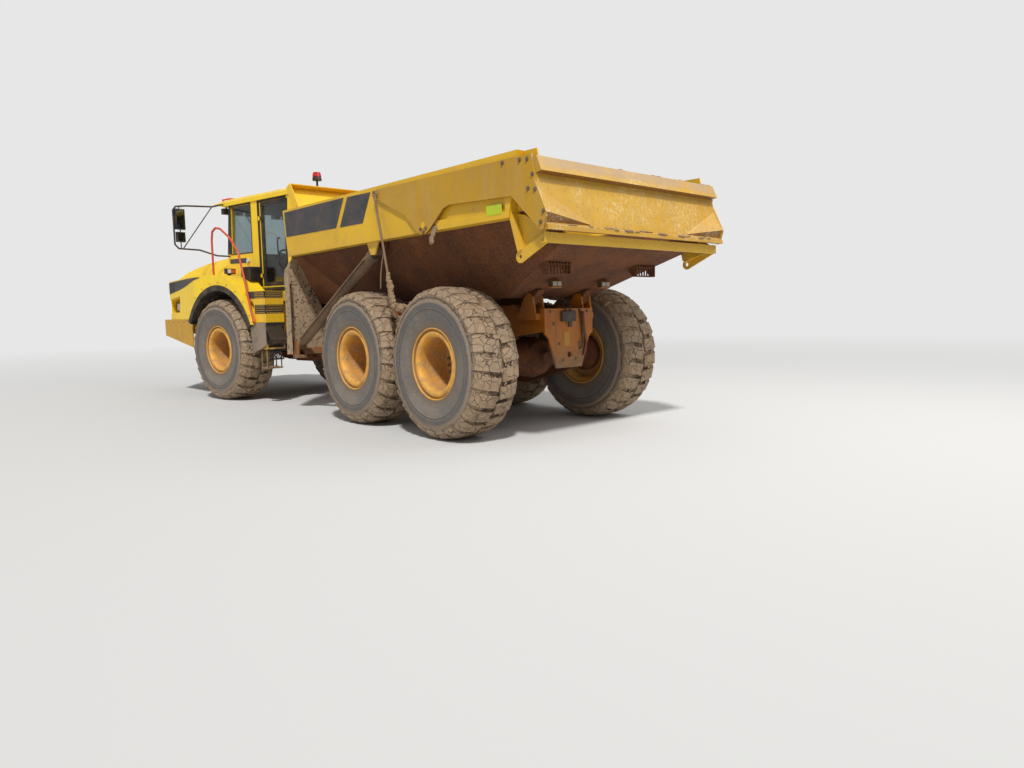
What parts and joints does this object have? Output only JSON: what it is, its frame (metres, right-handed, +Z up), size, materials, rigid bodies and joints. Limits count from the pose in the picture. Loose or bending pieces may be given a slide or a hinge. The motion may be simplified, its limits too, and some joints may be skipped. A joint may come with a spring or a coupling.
{
  "type": "articulated dump truck",
  "caption": "Articulated dump truck: cab unit and wheeled rear frame joined by a steering and roll hitch, with a tipping load box whose tailgate opens as it tips",
  "frame": {"origin": "On the ground under the middle of the whole parked truck", "axes": "+X forward along the rear frame, +Y left, +Z up"},
  "size_m": [10.3516, 3.3396, 3.5648],
  "materials": {
    "yellow_paint": "satin paint, worn and muddy",
    "rubber_flap": "matt, dusty",
    "muddy_steel": "dried clay over paint",
    "dark_trim": "matt",
    "window_glass": "clear, dusty",
    "orange_rail": "satin paint",
    "cylinder_steel": "oily, dusty",
    "tyre": "matt, clay in the tread"
  },
  "bodies": {
    "rear": {"rear_frame": "yellow_paint", "rear_axles": "yellow_paint", "mud_guards": "rubber_flap"},
    "hitch": {"hitch": "yellow_paint"},
    "tractor": {"front_frame": "muddy_steel", "bumper": "yellow_paint", "engine": "dark_trim", "front_axle": "muddy_steel", "driveline": "muddy_steel", "fenders": "yellow_paint", "arch_edges": "rubber_flap", "lamps": "dark_trim", "cab": "yellow_paint", "cab_roof": "yellow_paint", "cab_glass": "window_glass", "cab_interior": "dark_trim", "platforms": "yellow_paint", "handrails": "orange_rail", "mirrors": "dark_trim", "exhaust": "dark_trim"},
    "hood": {"hood": "yellow_paint", "grille": "dark_trim"},
    "door": {"cab_door": "dark_trim", "door_glass": "window_glass"},
    "bed": {"bed": "yellow_paint", "bed_guard": "yellow_paint"},
    "tailgate": {"tailgate": "yellow_paint"},
    "ropes": {"gate_ropes": "muddy_steel"},
    "tip_barrel_left": {"tip_barrel_left": "cylinder_steel"},
    "tip_rod_left": {"tip_rod_left": "cylinder_steel"},
    "steer_barrel_left": {"steer_barrel_left": "cylinder_steel"},
    "steer_rod_left": {"steer_rod_left": "cylinder_steel"},
    "tip_barrel_right": {"tip_barrel_right": "cylinder_steel"},
    "tip_rod_right": {"tip_rod_right": "cylinder_steel"},
    "steer_barrel_right": {"steer_barrel_right": "cylinder_steel"},
    "steer_rod_right": {"steer_rod_right": "cylinder_steel"},
    "wheel_front_left": {"tyre_front_left": "tyre", "rim_front_left": "yellow_paint"},
    "wheel_front_right": {"tyre_front_right": "tyre", "rim_front_right": "yellow_paint"},
    "wheel_mid_left": {"tyre_mid_left": "tyre", "rim_mid_left": "yellow_paint"},
    "wheel_mid_right": {"tyre_mid_right": "tyre", "rim_mid_right": "yellow_paint"},
    "wheel_rear_left": {"tyre_rear_left": "tyre", "rim_rear_left": "yellow_paint"},
    "wheel_rear_right": {"tyre_rear_right": "tyre", "rim_rear_right": "yellow_paint"}
  },
  "joints": [
    {"name": "roll", "type": "hinge", "parent": "rear", "child": "hitch", "pos_m": [0.61616, -0.25106, 0.95], "axis": [1, 0, 0], "range_deg": [-15, 15]},
    {"name": "steer", "type": "hinge", "parent": "hitch", "child": "tractor", "pos_m": [1.16116, -0.25106, 0.95], "axis": [0, 0, 1], "range_deg": [-54, 36]},
    {"name": "tip", "type": "hinge", "parent": "rear", "child": "bed", "pos_m": [-3.95384, -0.25106, 1.47], "axis": [0, -1, 0], "range_deg": [0, 70]},
    {"name": "gate", "type": "hinge", "parent": "bed", "child": "tailgate", "pos_m": [-3.35184, -0.25106, 2.25], "axis": [0, 1, 0], "range_deg": [0, 84.5]},
    {"name": "rope_swing", "type": "hinge", "parent": "rear", "child": "ropes", "pos_m": [-2.78884, -0.25106, 1.395], "axis": [0, -1, 0], "range_deg": [0, 47.2]},
    {"name": "hood_lift", "type": "hinge", "parent": "tractor", "child": "hood", "pos_m": [4.54103, 0.28426, 1.345], "axis": [-0.1564, 0.9877, 0], "range_deg": [0, 50]},
    {"name": "door_swing", "type": "hinge", "parent": "tractor", "child": "door", "pos_m": [1.69644, 0.70343, 2.3], "axis": [0, 0, -1], "range_deg": [0, 54]},
    {"name": "tip_barrel_swing_left", "type": "hinge", "parent": "rear", "child": "tip_barrel_left", "pos_m": [-0.10384, 0.99894, 0.911], "axis": [0, 1, 0], "range_deg": [0, 3.1]},
    {"name": "tip_rod_slide_left", "type": "slide", "parent": "tip_barrel_left", "child": "tip_rod_left", "axis": [-0.8776, 0, 0.4794], "range_m": [0, 2.07499]},
    {"name": "steer_barrel_swing_left", "type": "hinge", "parent": "tractor", "child": "steer_barrel_left", "pos_m": [2.05557, 0.36646, 0.8], "axis": [0, 0, 1], "range_deg": [-7.2, 10.5]},
    {"name": "steer_rod_slide_left", "type": "slide", "parent": "steer_barrel_left", "child": "steer_rod_left", "axis": [-0.9866, -0.1632, 0], "range_m": [-0.26, 0.38]},
    {"name": "tip_barrel_swing_right", "type": "hinge", "parent": "rear", "child": "tip_barrel_right", "pos_m": [-0.10384, -1.50106, 0.911], "axis": [0, 1, 0], "range_deg": [0, 3.1]},
    {"name": "tip_rod_slide_right", "type": "slide", "parent": "tip_barrel_right", "child": "tip_rod_right", "axis": [-0.8776, 0, 0.4794], "range_m": [0, 2.07499]},
    {"name": "steer_barrel_swing_right", "type": "hinge", "parent": "tractor", "child": "steer_barrel_right", "pos_m": [2.20262, -0.56196, 0.8], "axis": [0, 0, 1], "range_deg": [-7.2, 10.5]},
    {"name": "steer_rod_slide_right", "type": "slide", "parent": "steer_barrel_right", "child": "steer_rod_right", "axis": [-0.9967, -0.0811, 0], "range_m": [-0.39, 0.26]},
    {"name": "roll_front_left", "type": "hinge", "parent": "tractor", "child": "wheel_front_left", "pos_m": [2.17965, 1.05333, 0.808], "axis": [-0.1564, 0.9877, 0], "continuous": true},
    {"name": "roll_front_right", "type": "hinge", "parent": "tractor", "child": "wheel_front_right", "pos_m": [2.53288, -1.17687, 0.808], "axis": [-0.1564, 0.9877, 0], "continuous": true},
    {"name": "roll_mid_left", "type": "hinge", "parent": "rear", "child": "wheel_mid_left", "pos_m": [-1.80384, 0.87794, 0.808], "axis": [0, 1, 0], "continuous": true},
    {"name": "roll_mid_right", "type": "hinge", "parent": "rear", "child": "wheel_mid_right", "pos_m": [-1.80384, -1.38006, 0.808], "axis": [0, 1, 0], "continuous": true},
    {"name": "roll_rear_left", "type": "hinge", "parent": "rear", "child": "wheel_rear_left", "pos_m": [-3.47384, 0.87794, 0.808], "axis": [0, 1, 0], "continuous": true},
    {"name": "roll_rear_right", "type": "hinge", "parent": "rear", "child": "wheel_rear_right", "pos_m": [-3.47384, -1.38006, 0.808], "axis": [0, 1, 0], "continuous": true}
  ],
  "couplings": [
    {"joint": "gate", "follows": "tip", "ratio": 1.2063},
    {"joint": "rope_swing", "follows": "tip", "ratio": 0.67386},
    {"joint": "tip_barrel_swing_left", "follows": "tip", "ratio": 0.044227},
    {"joint": "tip_rod_slide_left", "follows": "tip", "m_per_rad": 1.6984},
    {"joint": "steer_barrel_swing_left", "follows": "steer", "ratio": -0.18},
    {"joint": "steer_rod_slide_left", "follows": "steer", "m_per_rad": -0.4},
    {"joint": "tip_barrel_swing_right", "follows": "tip", "ratio": 0.044227},
    {"joint": "tip_rod_slide_right", "follows": "tip", "m_per_rad": 1.6984},
    {"joint": "steer_barrel_swing_right", "follows": "steer", "ratio": -0.19},
    {"joint": "steer_rod_slide_right", "follows": "steer", "m_per_rad": 0.41}
  ]
}
